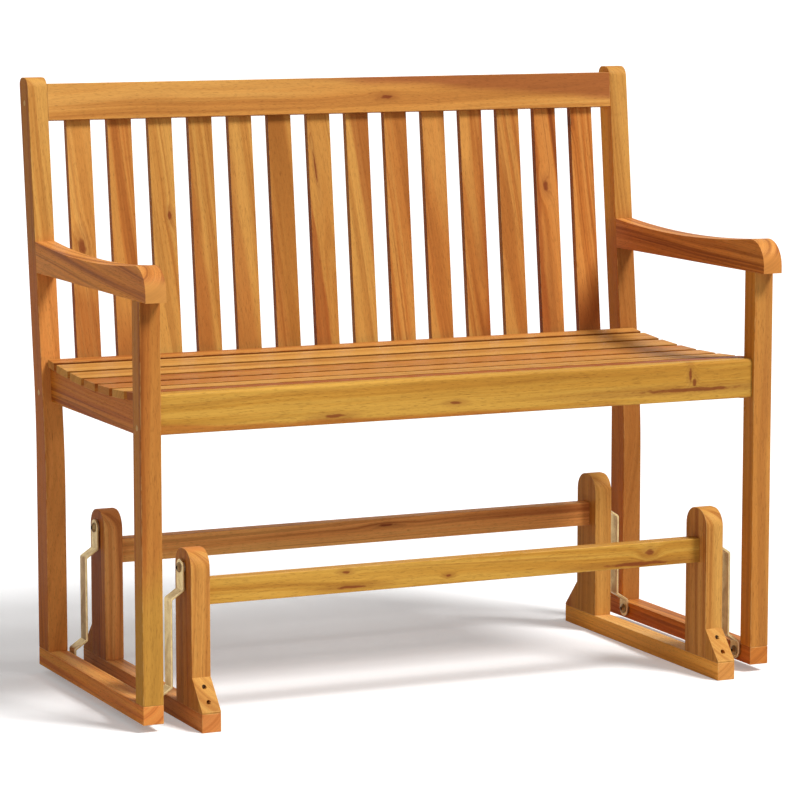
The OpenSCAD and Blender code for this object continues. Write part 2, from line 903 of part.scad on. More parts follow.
foot_rail(left);  // foot_rail_left
foot_rail(right);  // foot_rail_right
base_post(left, front_pivot_y);  // base_post_front_left
base_post(right, front_pivot_y);  // base_post_front_right
base_post(left, rear_pivot_y);  // base_post_rear_left
base_post(right, rear_pivot_y);  // base_post_rear_right
gusset(left, front_pivot_y);  // gusset_front_left
gusset(right, front_pivot_y);  // gusset_front_right
gusset(left, rear_pivot_y);  // gusset_rear_left
gusset(right, rear_pivot_y);  // gusset_rear_right
stretcher(front_pivot_y);  // front_stretcher
stretcher(rear_pivot_y);  // rear_stretcher
gusset_screws();
upper_pivot_screws();
upper_washers();
link(left, front_pivot_y);  // link_front_left
link(right, front_pivot_y);  // link_front_right
link(left, rear_pivot_y);  // link_rear_left
link(right, rear_pivot_y);  // link_rear_right
bottom_rail(left);  // bottom_rail_left
bottom_rail(right);  // bottom_rail_right
front_leg(left);  // front_leg_left
front_leg(right);  // front_leg_right
rear_post(left);  // rear_post_left
rear_post(right);  // rear_post_right
armrest(left);  // armrest_left
armrest(right);  // armrest_right
seat_side_rail(left);  // seat_side_rail_left
seat_side_rail(right);  // seat_side_rail_right
front_apron();
rear_seat_rail();
centre_bearer();
dished_slat(slat_middles[wide_slat_count], rear_slat_width);  // rear_seat_slat
top_rail();
frame_dowels();
frame_bolts();
bolt_plugs();
seat_screws();
lower_pivot_screws();
lower_washers();
for (i = [1:wide_slat_count])
    dished_slat(slat_middles[i - 1], seat_slat_width);
for (i = [1:back_slat_count])
    back_slat(i);
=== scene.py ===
"""Looks of the swing bench: oiled acacia boards, zinc links and screws, floor, lamps and camera (metres)."""
import json
import math
import random

import bmesh
import bpy
from mathutils import Matrix, Vector

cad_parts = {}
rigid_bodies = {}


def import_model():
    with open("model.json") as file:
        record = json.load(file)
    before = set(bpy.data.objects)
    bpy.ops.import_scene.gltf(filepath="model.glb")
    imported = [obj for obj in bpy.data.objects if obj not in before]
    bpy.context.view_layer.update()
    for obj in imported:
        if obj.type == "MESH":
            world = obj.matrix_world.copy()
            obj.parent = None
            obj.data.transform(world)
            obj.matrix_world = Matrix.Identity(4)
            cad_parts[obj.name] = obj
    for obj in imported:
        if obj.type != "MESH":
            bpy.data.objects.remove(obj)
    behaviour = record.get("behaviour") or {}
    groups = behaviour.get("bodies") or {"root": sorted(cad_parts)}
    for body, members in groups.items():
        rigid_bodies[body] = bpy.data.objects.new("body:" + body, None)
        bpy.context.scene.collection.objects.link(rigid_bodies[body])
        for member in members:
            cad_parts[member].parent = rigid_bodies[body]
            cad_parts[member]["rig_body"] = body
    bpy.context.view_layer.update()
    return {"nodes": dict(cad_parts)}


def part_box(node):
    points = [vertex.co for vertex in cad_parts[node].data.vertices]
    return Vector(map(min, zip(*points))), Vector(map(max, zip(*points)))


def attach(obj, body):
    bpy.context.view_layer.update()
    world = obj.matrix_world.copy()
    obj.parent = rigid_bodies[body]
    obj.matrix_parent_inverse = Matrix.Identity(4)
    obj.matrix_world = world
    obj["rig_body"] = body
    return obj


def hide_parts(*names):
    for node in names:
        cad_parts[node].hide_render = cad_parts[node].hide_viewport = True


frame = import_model()
nodes = frame["nodes"]

X, Y, Z = Vector((1, 0, 0)), Vector((0, 1, 0)), Vector((0, 0, 1))

# How far the edges of the pieces are eased
ARM_EASE = 0.0012
FRAME_EASE = 0.0010
SLIM_EASE = 0.0008
PLUG_EASE = 0.0004
SCREW_EASE = 0.0003

# Meshes: corners closer than WELD join, faces within FLAT become one, edges past CORNER are eased,
# and edges past CREASE stay sharp in the shading
WELD = 1e-6
FLAT = math.radians(0.05)
CORNER = math.radians(24)
CREASE = math.radians(38)

# Faces of a pivot screw nearer to its axis than this line its key socket, and are painted dark as the shade
# inside it
SOCKET_RADIUS = 0.0041
# Run of the rear posts towards the back for each metre up
POST_LEAN = 0.062
# A start for the second colour that no board reaches
NEVER = 9.0


# colours and shader helpers

def srgb(red, green, blue):
    """A 0-255 screen colour as the linear colour that the shader takes."""
    def linear(value):
        value /= 255
        return value / 12.92 if value <= 0.04045 else ((value + 0.055) / 1.055) ** 2.4
    return (linear(red), linear(green), linear(blue), 1.0)


class Tree:
    """Adds nodes to a shader tree and hands back their outputs."""

    def __init__(self, tree):
        self.tree = tree

    def put(self, value, socket):
        """Links an output to the socket, or sets a plain value on it."""
        if isinstance(value, bpy.types.NodeSocket):
            self.tree.links.new(value, socket)
        else:
            socket.default_value = value

    def node(self, kind, inputs=(), **settings):
        made = self.tree.nodes.new("ShaderNode" + kind)
        for key, value in settings.items():
            setattr(made, key, value)
        for key, value in dict(inputs).items():
            self.put(value, made.inputs[key])
        return made

    def math(self, operation, *values):
        made = self.node("Math", operation=operation)
        for place, value in enumerate(values):
            self.put(value, made.inputs[place])
        return made.outputs[0]

    def vector(self, operation, *values):
        made = self.node("VectorMath", operation=operation)
        for place, value in enumerate(values):
            self.put(value, made.inputs[place])
        return made.outputs["Value" if operation in ("LENGTH", "DOT_PRODUCT") else "Vector"]

    def noise(self, place, detail, roughness, output="Fac"):
        return self.node("TexNoise", {
            "Vector": place, "Scale": 1.0, "Detail": detail, "Roughness": roughness}).outputs[output]

    def step(self, value, low, high):
        """Smooth rise from 0 at low to 1 at high, or a fall where low is above high."""
        ends = {"From Min": low, "From Max": high, "To Min": 0.0, "To Max": 1.0}
        if low > high:
            ends = {"From Min": high, "From Max": low, "To Min": 1.0, "To Max": 0.0}
        return self.node("MapRange", {"Value": value, **ends}, interpolation_type="SMOOTHSTEP").outputs[0]

    def mix(self, amount, first, second, blend="MIX"):
        """Mixes two colours, which a Mix node takes at sockets 6 and 7 and gives at its third output."""
        made = self.node("Mix", data_type="RGBA", blend_type=blend)
        for place, value in ((0, amount), (6, first), (7, second)):
            self.put(value, made.inputs[place])
        return made.outputs[2]

    def times(self, first, second):
        return self.mix(1.0, first, second, "MULTIPLY")

    def grey(self, level):
        return self.node("CombineColor", {"Red": level, "Green": level, "Blue": level}).outputs[0]

    def scaled(self, place, scale):
        return self.vector("MULTIPLY", place, scale)


def group(name, inputs, outputs):
    """An empty node group; inputs and outputs are {socket type: names}."""
    made = bpy.data.node_groups.new(name, "ShaderNodeTree")
    for way, sockets in (("INPUT", inputs), ("OUTPUT", outputs)):
        for kind, labels in sockets.items():
            for label in labels:
                made.interface.new_socket(label, in_out=way, socket_type="NodeSocket" + kind)
    start = made.nodes.new("NodeGroupInput")
    end = made.nodes.new("NodeGroupOutput")
    return made, Tree(made), start.outputs, end.inputs


# oiled acacia

PORE, KNOT_HEART = srgb(104, 54, 24), srgb(118, 50, 28)
# The lighter edge colour below stands for worn edges and also a painted highlight along eased edges
SOAKED_END, RUBBED_EDGE_AND_HIGHLIGHT = srgb(243, 226, 208), srgb(232, 184, 112)
PORE_SHARE, KNOT_SHARE, HALO_SHARE, RUBBED_AND_HIGHLIGHT_SHARE = 0.38, 0.84, 0.35, 0.35


def knot_group():
    """A knot: it pushes the growth rings aside around it and leaves a dark heart."""
    made, tree, given, result = group(
        "knot", {"Float": ("Shift", "Dark", "Lift"), "Vector": ("Centre", "Reach")},
        {"Float": ("Shift", "Dark")})
    place = tree.node("TexCoord").outputs["Object"]
    ripple = tree.noise(tree.scaled(place, (60, 130, 60)), 2.0, 0.6, "Color")
    wobble = tree.scaled(tree.vector("SUBTRACT", ripple, (0.5, 0.5, 0.5)), (1.1, 1.1, 1.1))
    offset = tree.vector("MULTIPLY", tree.vector("SUBTRACT", place, given["Centre"]), given["Reach"])
    # Distance 1 is the knot's own edge: its heart is dark inside it, and a faint halo ends at 3
    distance = tree.vector("LENGTH", tree.vector("ADD", offset, wobble))
    swell = tree.math("MULTIPLY", tree.math("MULTIPLY", distance, distance), -0.22)
    swell = tree.math("EXPONENT", swell)
    heart = tree.step(distance, 1.25, 0.45)
    halo = tree.math("MULTIPLY", tree.step(distance, 3.0, 0.9), HALO_SHARE)
    tree.put(tree.math("MULTIPLY_ADD", swell, given["Lift"], given["Shift"]), result["Shift"])
    tree.put(tree.math("MAXIMUM", given["Dark"], tree.math("MAXIMUM", heart, halo)), result["Dark"])
    return made


def acacia_group():
    """Solid oiled acacia: rings around a pith line, fibres and pores along local X, end grain across it."""
    made, tree, given, result = group(
        "oiled acacia",
        {"Vector": ("Seed", "Pith", "Second side", "Flank"),
         "Color": ("Light", "Middle", "Dark", "Second", "Painted flank shading", "Tip"),
         "Float": ("Figure", "Second start", "Second softness", "Second share", "Tip share",
                   "Shift", "Knot", "Wear and highlight")},
        {"Color": ("Color",), "Float": ("Roughness", "Height")})
    coordinates = tree.node("TexCoord")
    place = coordinates.outputs["Object"]
    seeded = tree.vector("ADD", place, given["Seed"])

    # Depth below the pith line, which leans and wanders a little, gives the growth rings
    drift = tree.noise(tree.scaled(seeded, (1.6, 9, 9)), 2.0, 0.55, "Color")
    wander = tree.vector("SUBTRACT", drift, (0.5, 0.5, 0.5))
    bent = tree.vector("ADD", place, tree.scaled(wander, (0, 0.016, 0.016)))
    along = tree.node("SeparateXYZ", {"Vector": place}).outputs["X"]
    slope = tree.node("SeparateXYZ", {"Vector": given["Pith"]}).outputs["X"]
    across = tree.vector("MULTIPLY", tree.vector("SUBTRACT", bent, given["Pith"]), (0, 1, 1))
    depth = tree.math("ADD", tree.math("MULTIPLY_ADD", along, slope, given["Shift"]),
                      tree.vector("LENGTH", across))

    def lines(rate, slide, detail, roughness):
        """Noise in lines along the grain: rate of them to a metre of depth, changing slide times along it."""
        spot = tree.node("CombineXYZ", {"X": tree.math("MULTIPLY", along, slide),
                                        "Y": tree.math("MULTIPLY", depth, rate)}).outputs[0]
        return tree.noise(tree.vector("ADD", spot, given["Seed"]), detail, roughness)

    bands = lines(95, 0.8, 3.0, 0.60)
    streaks = lines(48, 1.6, 2.0, 0.5)
    fine = lines(420, 3.0, 2.0, 0.6)
    thin = tree.step(lines(250, 1.4, 1.0, 0.5), 0.56, 0.68)
    fibres = tree.noise(tree.scaled(seeded, (34, 820, 820)), 2.0, 0.6)
    pores = tree.step(tree.noise(tree.scaled(seeded, (90, 1500, 1500)), 1.0, 0.5), 0.60, 0.70)
    cloud = tree.noise(tree.scaled(seeded, (3.5, 14, 14)), 3.0, 0.6)

    colour = tree.mix(tree.step(bands, 0.42, 0.60), given["Middle"], given["Light"])
    ribbon = tree.math("MULTIPLY", tree.step(bands, 0.46, 0.30), given["Figure"])
    colour = tree.mix(ribbon, colour, given["Dark"])
    smear = tree.math("MULTIPLY", tree.step(streaks, 0.40, 0.24), given["Figure"])
    colour = tree.mix(tree.math("MULTIPLY", smear, 0.75), colour, given["Dark"])
    thread = tree.math("MULTIPLY", thin, tree.math("MULTIPLY", given["Figure"], 0.55))
    colour = tree.mix(thread, colour, given["Dark"])

    # The second colour fills the board past a ragged line
    rag = tree.math("SUBTRACT", tree.noise(tree.scaled(seeded, (6, 26, 26)), 2.0, 0.55), 0.5)
    edge = tree.math("ADD", tree.vector("DOT_PRODUCT", place, given["Second side"]),
                     tree.math("MULTIPLY", rag, 0.02))
    past = tree.math("DIVIDE", tree.math("SUBTRACT", edge, given["Second start"]), given["Second softness"])
    inside = tree.step(past, -1.0, 1.0)
    tinted = tree.mix(tree.math("MULTIPLY", tree.step(bands, 0.52, 0.34), 0.8), given["Second"],
                      tree.mix(0.5, given["Second"], given["Dark"]))
    colour = tree.mix(tree.math("MULTIPLY", inside, given["Second share"]), colour, tinted)

    # Fine lines, fibres and clouds shade the wood a little lighter and darker round its colour
    shade = tree.math("ADD", tree.math("MULTIPLY_ADD", fine, 0.28, 0.86),
                      tree.math("MULTIPLY_ADD", fibres, 0.26, -0.23))
    shade = tree.math("ADD", shade, tree.math("MULTIPLY_ADD", cloud, 0.22, -0.11))
    colour = tree.times(colour, tree.grey(shade))
    colour = tree.mix(tree.math("MULTIPLY", pores, PORE_SHARE), colour, PORE)
    colour = tree.mix(tree.math("MULTIPLY", given["Knot"], KNOT_SHARE), colour, KNOT_HEART)

    # End grain soaks up oil; the flanks get painted shading, darker or lighter as light would fall on those
    # sides; and eased edges turn lighter in patches, partly worn and partly a painted highlight
    facing = tree.node("SeparateXYZ", {"Vector": coordinates.outputs["Normal"]}).outputs["X"]
    end_grain = tree.step(tree.math("ABSOLUTE", facing), 0.80, 0.97)
    soaked = tree.mix(given["Tip share"], tree.times(colour, SOAKED_END), given["Tip"])
    colour = tree.mix(end_grain, colour, soaked)
    beside = tree.math("ABSOLUTE", tree.vector("DOT_PRODUCT", coordinates.outputs["Normal"], given["Flank"]))
    colour = tree.mix(tree.step(beside, 0.50, 0.90), colour, tree.times(colour, given["Painted flank shading"]))
    patches = tree.step(tree.noise(tree.scaled(seeded, (40, 40, 40)), 3.0, 0.6), 0.40, 0.62)
    edge_wear_and_highlight = tree.math("MULTIPLY", tree.math("MULTIPLY", given["Wear and highlight"], patches), RUBBED_AND_HIGHLIGHT_SHARE)
    colour = tree.mix(edge_wear_and_highlight, colour, RUBBED_EDGE_AND_HIGHLIGHT)

    # Pores and end grain are duller, and pores and knots lie a little deeper
    roughness = tree.math("MULTIPLY_ADD", fine, 0.10, tree.math("MULTIPLY_ADD", cloud, 0.16, 0.36))
    dull = tree.math("MULTIPLY_ADD", pores, 0.22, tree.math("MULTIPLY", end_grain, 0.16))
    roughness = tree.math("ADD", roughness, dull)
    height = tree.math("ADD", tree.math("MULTIPLY", fine, 0.35), tree.math("MULTIPLY", fibres, 0.40))
    sunk = tree.math("MULTIPLY_ADD", pores, -0.55, tree.math("MULTIPLY", given["Knot"], -0.35))
    tree.put(colour, result["Color"])
    tree.put(tree.math("MAXIMUM", roughness, 0.2), result["Roughness"])
    tree.put(tree.math("ADD", height, sunk), result["Height"])
    return made


def blank_material(name):
    """A new material, a Tree for its nodes, and its shader's inputs."""
    made = bpy.data.materials.new(name)
    made.use_nodes = True
    return made, Tree(made.node_tree), made.node_tree.nodes["Principled BSDF"].inputs


KNOT = knot_group()
ACACIA = acacia_group()
WOOD_SPECULAR = 0.045
# Half the depth of a knot, which so runs right through its board
KNOT_DEPTH = 1 / 6
# The furthest that a board's wood is cut from the middle of the pattern
SEED_REACH = 40


def acacia(name, palette, figure, pith, second=None, side=(0, 1, 0), start=NEVER, softness=0.006, share=0.85,
           knots=(), seed=0, flank=(0, 0, 0), flank_tint=(1.0, 0.84, 0.62), tip=None, tip_share=0.3):
    """Wood of one board, in the board's own axes.

    palette is (light, middle, dark), and figure says how strongly the dark lines show. The second colour
    begins where the distance along side passes start. knots are (x, y, half length, half width, lift of the
    rings). The flank tint multiplies the faces that look along flank: painted shading for how light falls on
    those sides, painted shade below 1 and painted light above it. tip colours the end grain.
    """
    light, middle, dark = palette
    made, tree, shader = blank_material(name)
    shader["Specular IOR Level"].default_value = WOOD_SPECULAR
    chance = random.Random(seed)
    shift, dark_heart = 0.0, 0.0
    for x, y, length, width, lift in knots:
        knot = tree.node("Group", {}, node_tree=KNOT)
        for key, value in {"Shift": shift, "Dark": dark_heart, "Centre": (x, y, 0),
                           "Reach": (1 / length, 1 / width, 1 / KNOT_DEPTH), "Lift": lift}.items():
            tree.put(value, knot.inputs[key])
        shift, dark_heart = knot.outputs["Shift"], knot.outputs["Dark"]
    # The eased faces carry the worn edges and the painted highlight along them
    wear_and_highlight = tree.node("Attribute", attribute_name="eased").outputs["Fac"]
    wood = tree.node("Group", {}, node_tree=ACACIA)
    cut = [chance.uniform(-SEED_REACH, SEED_REACH) for axis in range(3)]
    for key, value in {"Seed": cut, "Pith": pith, "Light": light, "Middle": middle, "Dark": dark,
                       "Figure": figure, "Second": second or middle,
                       "Second side": side, "Second start": start, "Second softness": softness,
                       "Second share": share, "Flank": flank, "Painted flank shading": (*flank_tint, 1.0),
                       "Tip": tip or light, "Tip share": tip_share,
                       "Shift": shift, "Knot": dark_heart, "Wear and highlight": wear_and_highlight}.items():
        tree.put(value, wood.inputs[key])
    tree.put(wood.outputs["Color"], shader["Base Color"])
    tree.put(wood.outputs["Roughness"], shader["Roughness"])
    bump = tree.node("Bump", {"Strength": 0.55, "Distance": 0.0005, "Height": wood.outputs["Height"]})
    tree.put(bump.outputs[0], shader["Normal"])
    return made


DULL_SPOT, BRIGHT_EDGE = srgb(150, 120, 90), srgb(236, 228, 206)
SPOT_SHARE, BRIGHT_SHARE = 0.5, 0.3


def metal(name, colour, stain, roughness, scratch):
    """Plated steel with cloudy plating, fine scratches and dull spots."""
    made, tree, shader = blank_material(name)
    shader["Metallic"].default_value = 1.0
    place = tree.node("TexCoord").outputs["Object"]
    cloud = tree.noise(tree.scaled(place, (70, 70, 45)), 4.0, 0.6)
    scuffs = tree.noise(tree.scaled(place, (900, 900, 60)), 3.0, 0.6)
    specks = tree.step(tree.noise(tree.scaled(place, (420, 420, 420)), 2.0, 0.6), 0.62, 0.74)
    spots = tree.math("MULTIPLY", specks, SPOT_SHARE)
    tint = tree.mix(tree.step(cloud, 0.40, 0.66), colour, stain)
    tint = tree.mix(spots, tint, tree.times(tint, DULL_SPOT))
    worn = tree.node("Attribute", attribute_name="eased").outputs["Fac"]
    tint = tree.mix(tree.math("MULTIPLY", worn, BRIGHT_SHARE), tint, BRIGHT_EDGE)
    tree.put(tint, shader["Base Color"])
    rough = tree.math("MULTIPLY_ADD", cloud, 0.22,
                      tree.math("MULTIPLY_ADD", scuffs, scratch, roughness - 0.11))
    tree.put(tree.math("MULTIPLY_ADD", specks, 0.2, rough), shader["Roughness"])
    height = tree.math("ADD", scuffs, spots)
    bump = tree.node("Bump", {"Strength": 0.25, "Distance": 0.0002, "Height": height})
    tree.put(bump.outputs[0], shader["Normal"])
    return made


# pieces cut from the frame's nodes

def islands(items, neighbours):
    """Lists of the items that hang together through neighbours(item)."""
    left = set(items)
    for first in items:
        if first not in left:
            continue
        left.discard(first)
        found, waiting = [first], [first]
        while waiting:
            for other in neighbours(waiting.pop()):
                if other in left:
                    left.discard(other)
                    found.append(other)
                    waiting.append(other)
        yield found


def is_corner(edge):
    return len(edge.link_faces) == 2 and edge.calc_face_angle(0) >= CORNER


def outward_edges(mesh):
    """Corner edges that stick out."""
    return [edge for edge in mesh.edges if is_corner(edge) and edge.calc_face_angle_signed(0) > 0]


def smooth_areas(mesh):
    """Faces that run on without a corner between them, as {face: number of its area}."""
    def beside(face):
        return [other for edge in face.edges if len(edge.link_faces) == 2 and not is_corner(edge)
                for other in edge.link_faces]
    return {face: number for number, area in enumerate(islands(list(mesh.faces), beside)) for face in area}


def spread(edges):
    """Squared diagonal of the box round some edges."""
    points = [corner.co for edge in edges for corner in edge.verts]
    return sum((max(p[axis] for p in points) - min(p[axis] for p in points)) ** 2 for axis in range(3))


def outline_edges(mesh):
    """Outward edges on the outer rim of both areas beside them: mortises, holes and tenons are left out."""
    area = smooth_areas(mesh)
    rims = {}
    for edge in mesh.edges:
        if is_corner(edge):
            for face in edge.link_faces:
                rims.setdefault(area[face], []).append(edge)

    def touching(edge):
        return [other for corner in edge.verts for other in corner.link_edges]

    outer = {number: set(max(islands(edges, touching), key=spread)) for number, edges in rims.items()}
    return [edge for edge in outward_edges(mesh)
            if all(edge in outer[area[face]] for face in edge.link_faces)]


def line_sockets(mesh):
    """Gives the second material, a painted shade, to the faces inside the key sockets, which lie round each
    screw's X axis.
    """
    def joined(corner):
        return [edge.other_vert(corner) for edge in corner.link_edges]

    for screw in islands(list(mesh.verts), joined):
        y, z = ((min(v.co[axis] for v in screw) + max(v.co[axis] for v in screw)) / 2 for axis in (1, 2))
        for face in {face for corner in screw for face in corner.link_faces}:
            if all(math.hypot(v.co.y - y, v.co.z - z) < SOCKET_RADIUS for v in face.verts):
                face.material_index = 1


def piece_from(name, along, across, ease, slot, material, socket=None, every_edge=False, segments=3):
    """A copy of a node's shape in axes of its own, with its edges eased, that stands for the node."""
    low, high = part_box(name)
    x_axis = along.normalized()
    y_axis = (across - across.dot(x_axis) * x_axis).normalized()
    turn = Matrix((x_axis, y_axis, x_axis.cross(y_axis))).transposed().to_4x4()
    place = Matrix.Translation((low + high) / 2) @ turn
    mesh = bmesh.new()
    mesh.from_mesh(nodes[name].data)
    mesh.transform(place.inverted())
    bmesh.ops.remove_doubles(mesh, verts=mesh.verts, dist=WELD)
    bmesh.ops.dissolve_limit(mesh, angle_limit=FLAT, verts=mesh.verts, edges=mesh.edges)
    chosen = outward_edges(mesh) if every_edge else outline_edges(mesh)
    eased = mesh.faces.layers.float.new("eased")
    result = bmesh.ops.bevel(mesh, geom=chosen, offset=ease, offset_type="OFFSET", segments=segments,
                             profile=0.5, affect="EDGES", clamp_overlap=True)
    for face in result["faces"]:
        face[eased] = 1.0
    for face in mesh.faces:
        face.smooth = True
    if socket:
        line_sockets(mesh)
    data = bpy.data.meshes.new(name + "_dressed")
    mesh.to_mesh(data)
    mesh.free()
    data.set_sharp_from_angle(angle=CREASE)
    data.materials.append(material)
    if socket:
        data.materials.append(socket)
    made = bpy.data.objects.new(name + "_dressed", data)
    bpy.context.scene.collection.objects.link(made)
    made.matrix_world = place
    normals = made.modifiers.new("even normals", "WEIGHTED_NORMAL")
    normals.keep_sharp = True
    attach(made, nodes[name]["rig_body"])
    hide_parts(name)


def board(name, along, across, palette, figure, pith, ease=FRAME_EASE, slot="frame_wood", **options):
    """One board with wood of its own: grain along the first axis, width along the second."""
    # Where the grain doesn't run across the bench, the flank tint goes on the faces to its left and right:
    # painted shading for how light falls on those sides, painted shade below 1 and painted light above it
    if abs(along.x) < 0.5:
        options["flank"] = (along.x, across.x, along.cross(across).x)
    wood = acacia("acacia_" + name, palette, figure, pith, **options)
    piece_from(name, along, across, ease, slot, wood)


def longest_edge(name):
    """Direction of a node's longest edge, pointing up."""
    mesh = nodes[name].data
    spans = [mesh.vertices[edge.vertices[1]].co - mesh.vertices[edge.vertices[0]].co for edge in mesh.edges]
    longest = max(spans, key=lambda span: span.length).normalized()
    return longest if longest.z > 0 else -longest


LEAN = longest_edge("back_slat_1")
POST = Vector((0, POST_LEAN, 1)).normalized()

# Palettes: light, middle, dark. RUST, STRAW, APRICOT, PEACH and MELON are lighter than the wood's own tone:
# painted light that lifts boards lying in shade
HONEY = (srgb(212, 160, 70), srgb(197, 141, 56), srgb(158, 96, 34))
GOLD = (srgb(216, 158, 80), srgb(200, 138, 66), srgb(152, 86, 34))
AMBER = (srgb(212, 148, 74), srgb(196, 124, 58), srgb(142, 72, 30))
ORANGE = (srgb(206, 134, 68), srgb(188, 106, 50), srgb(126, 58, 26))
# The darkest palette below is painted shade, for the front seat slat
UMBER_SHADE = (srgb(176, 100, 46), srgb(152, 78, 30), srgb(104, 48, 18))
SUNNY = (srgb(224, 164, 86), srgb(210, 144, 70), srgb(166, 100, 46))
EMBER = (srgb(216, 142, 70), srgb(198, 118, 52), srgb(128, 60, 28))
RUST = (srgb(238, 168, 98), srgb(224, 150, 82), srgb(170, 96, 54))
BURNT = (srgb(230, 156, 80), srgb(212, 134, 64), srgb(118, 56, 28))
STRAW = (srgb(240, 184, 108), srgb(228, 164, 88), srgb(184, 116, 60))
APRICOT = (srgb(252, 186, 106), srgb(240, 162, 88), srgb(182, 102, 52))
PEACH = (srgb(250, 184, 106), srgb(240, 160, 88), srgb(186, 108, 56))
MELON = (srgb(254, 190, 106), srgb(244, 164, 86), srgb(196, 112, 58))
COPPER = (srgb(198, 130, 60), srgb(180, 108, 48), srgb(128, 64, 26))
PALE = (srgb(224, 186, 126), srgb(212, 168, 108), srgb(170, 116, 66))
RED_STREAK = srgb(164, 84, 38)

# Piths that several boards share: slope along the grain, then the place across the board
RAIL_PITH = (0.01, 0.06, -0.05)
SEAT_RAIL_PITH = (0.02, 0.06, -0.05)
POST_PITH = (0.01, 0.05, 0.05)

# boards across the bench

board("front_apron", X, Z, HONEY, 0.40, (0.01, 0.05, -0.07), seed=4,
      second=srgb(184, 112, 48), side=(-0.014, -1, 0), start=0.026, softness=0.004,
      knots=[(-0.217, -0.018, 0.020, 0.0035, 0.003), (-0.019, -0.0095, 0.012, 0.0028, 0.004),
             (0.383, 0.010, 0.0034, 0.012, 0.008), (0.390, -0.001, 0.0044, 0.008, 0.006),
             (0.385, -0.0120, 0.110, 0.0040, 0.002)])
board("front_stretcher", X, Z, HONEY, 0.70, (0.01, -0.05, -0.07), seed=9,
      knots=[(0.326, 0.003, 0.009, 0.006, 0.010), (0.306, -0.0130, 0.066, 0.0038, 0.001),
             (-0.020, -0.006, 0.006, 0.0028, 0.005), (-0.190, 0.012, 0.007, 0.0030, 0.005),
             (-0.180, -0.0110, 0.032, 0.0028, 0.001)])
# The rear stretcher's light palette is painted light for the shade under the seat
board("rear_stretcher", X, Z, APRICOT, 0.8, RAIL_PITH, seed=12,
      knots=[(0.045, 0.008, 0.018, 0.0028, 0.004)])
board("top_rail", X, LEAN, SUNNY, 0.40, (0.015, 0.03, -0.05), slot="slat_wood", seed=21,
      second=srgb(164, 92, 54), side=(0.08, 1, 0), start=0.025, softness=0.009,
      knots=[(0.083, -0.004, 0.012, 0.0038, 0.006)])
board("rear_seat_rail", X, LEAN, ORANGE, 0.5, RAIL_PITH, seed=23)

# legs and posts of the bench

board("front_leg_left", Z, X, COPPER, 0.7, (0.01, 0.03, 0.06), seed=31,
      second=srgb(200, 148, 64), side=(-1, 0.8, 0), start=0.12, softness=0.05, share=0.8,
      flank_tint=(0.95, 0.84, 0.38))
board("front_leg_right", Z, X, SUNNY, 0.45, (-0.01, 0.03, 0.06), seed=33,
      second=srgb(200, 126, 54), side=(-0.02, -1, 0), start=0.002, softness=0.012, share=0.6,
      flank_tint=(1.15, 1.08, 0.70))
board("rear_post_left", POST, X, GOLD, 0.5, (0.01, 0.04, 0.06), seed=35,
      second=srgb(230, 146, 74), side=(-1, 0.6, 0), start=-0.19, softness=0.03, share=0.75,
      flank_tint=(0.68, 0.46, 0.13))
# Its darker, redder second colour on the lower part is partly the wood's own tone and partly painted shade of
# the seat and arm above
board("rear_post_right", POST, X, GOLD, 0.5, (0.01, 0.05, 0.06), seed=37,
      second=srgb(172, 106, 50), side=(-1, 0.6, 0), start=-0.19, softness=0.03,
      flank_tint=(1.45, 1.15, 0.55))

# boards from front to back

# The left bottom rail's light palette is painted light for the shade it lies in
board("bottom_rail_left", Y, Z, MELON, 0.9, RAIL_PITH, seed=41,
      tip=srgb(204, 124, 66), flank_tint=(0.88, 0.62, 0.32))
board("bottom_rail_right", Y, Z, EMBER, 0.7, RAIL_PITH, seed=43)
board("armrest_left", Y, Z, BURNT, 0.65, (0.07, 0.035, -0.03), ARM_EASE, seed=45,
      tip=srgb(206, 146, 76), tip_share=0.75, flank_tint=(1.0, 0.84, 0.50))
board("armrest_right", Y, Z, BURNT, 0.65, (0.03, 0.05, -0.04), ARM_EASE, seed=47,
      tip=srgb(204, 136, 68), tip_share=0.75, flank_tint=(1.0, 0.88, 0.72))
board("seat_side_rail_left", Y, Z, EMBER, 0.8, SEAT_RAIL_PITH, seed=51, flank_tint=(0.95, 0.78, 0.42))
board("seat_side_rail_right", Y, Z, AMBER, 0.6, SEAT_RAIL_PITH, seed=53)
board("centre_bearer", Y, Z, AMBER, 0.6, SEAT_RAIL_PITH, seed=55)
# The foot rails' light palettes are painted light for their shaded sides
board("foot_rail_left", Y, Z, RUST, 0.8, RAIL_PITH, seed=61,
      tip=srgb(190, 108, 60), flank_tint=(0.85, 0.66, 0.45))
board("foot_rail_right", Y, Z, STRAW, 0.6, RAIL_PITH, seed=63,
      tip=srgb(204, 136, 74), flank_tint=(1.25, 1.0, 0.55))

# posts and gussets of the base

board("base_post_front_left", Z, X, SUNNY, 0.85, POST_PITH, seed=65,
      tip=srgb(214, 140, 76), tip_share=0.7, flank_tint=(0.9, 0.76, 0.6))
board("base_post_front_right", Z, X, GOLD, 0.75, POST_PITH, seed=67,
      tip_share=0.6, flank_tint=(1.1, 0.95, 0.88))
# The left rear base post's light palette is painted light for the shade of the bench beside it
board("base_post_rear_left", Z, X, PEACH, 0.8, POST_PITH, seed=69,
      tip=srgb(222, 148, 82), tip_share=0.8, flank_tint=(0.68, 0.52, 0.34))
board("base_post_rear_right", Z, X, GOLD, 0.8, POST_PITH, seed=71, tip_share=0.6)
board("gusset_front_left", Z, X, GOLD, 0.5, POST_PITH, SLIM_EASE, seed=73)
board("gusset_front_right", Z, X, GOLD, 0.5, POST_PITH, SLIM_EASE, seed=75)
board("gusset_rear_left", Z, X, AMBER, 0.5, POST_PITH, SLIM_EASE, seed=77)
board("gusset_rear_right", Z, X, AMBER, 0.5, POST_PITH, SLIM_EASE, seed=79)

# seat slats, with painted shade on their long sides in the gaps between them

